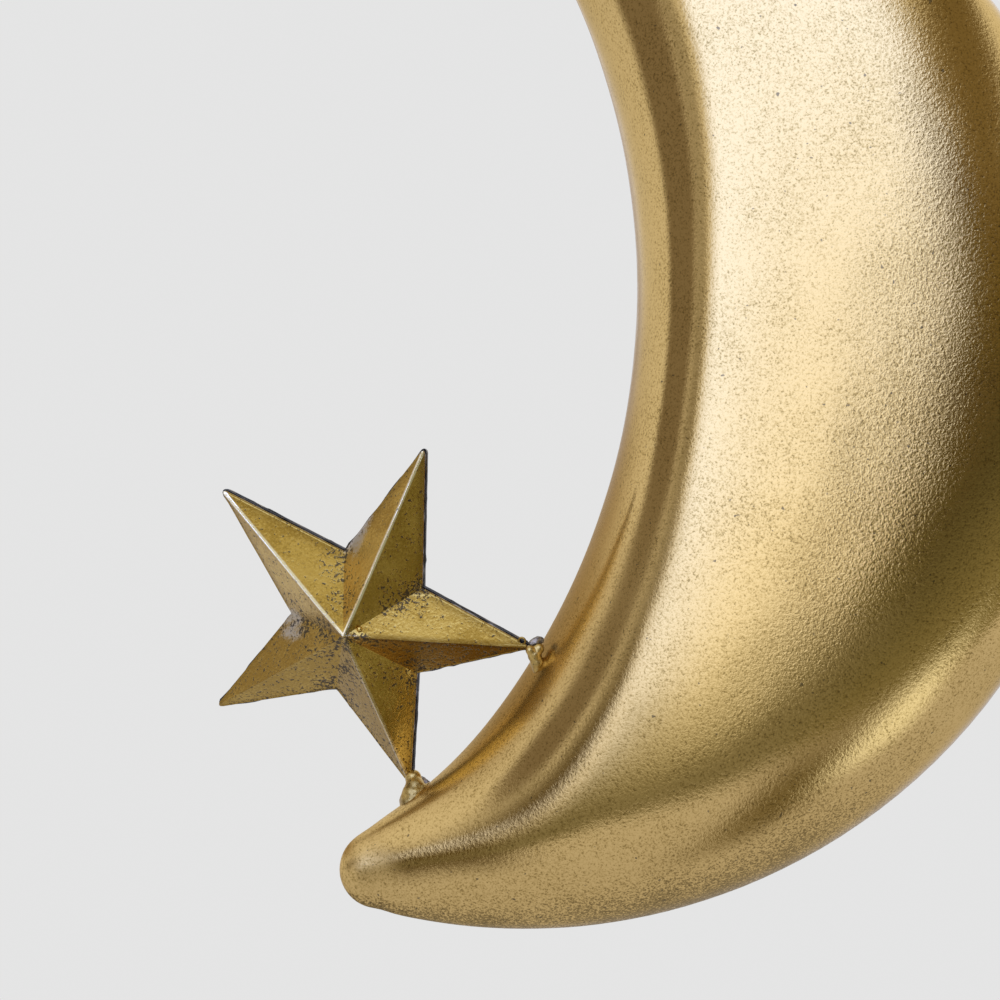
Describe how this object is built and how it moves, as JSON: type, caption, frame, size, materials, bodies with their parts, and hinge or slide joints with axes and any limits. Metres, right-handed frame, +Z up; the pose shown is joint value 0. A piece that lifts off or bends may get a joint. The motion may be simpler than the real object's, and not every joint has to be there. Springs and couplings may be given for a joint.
{
  "type": "crescent moon and star hanging ornament",
  "caption": "Hollow pressed-metal crescent moon with a faceted star brazed to its inner edge, hung from a ring in a wire staple, for festive display.",
  "frame": {"origin": "centre of the hang ring", "axes": "+Z up, +X towards the convex side of the moon, -Y out of the front"},
  "size_m": [0.1535, 0.0578, 0.2163],
  "materials": {
    "antique_brass": "satin, pitted, with dark specks",
    "star_brass": "satin with dark patina in the valleys",
    "dark_seam": "blackened and rough",
    "braze": "satin, flowed",
    "solder": "dull grey"
  },
  "bodies": {
    "ring": {"hang_ring": "antique_brass"},
    "ornament": {"crescent_front_shell": "antique_brass", "crescent_back_shell": "antique_brass", "crescent_seam_bead": "antique_brass", "star_front_shell": "star_brass", "star_back_shell": "star_brass", "star_seam_bead": "dark_seam", "right_braze_fillet": "braze", "right_solder_nugget": "solder", "lower_braze_fillet": "braze", "lower_solder_nugget": "solder", "hanger_staple": "antique_brass", "hanger_braze": "braze"}
  },
  "joints": [
    {"name": "ornament_swing", "type": "hinge", "parent": "ring", "child": "ornament", "pos_m": [0, 0, -0.009], "axis": [1, 0, 0], "range_deg": [-105, 105]}
  ]
}
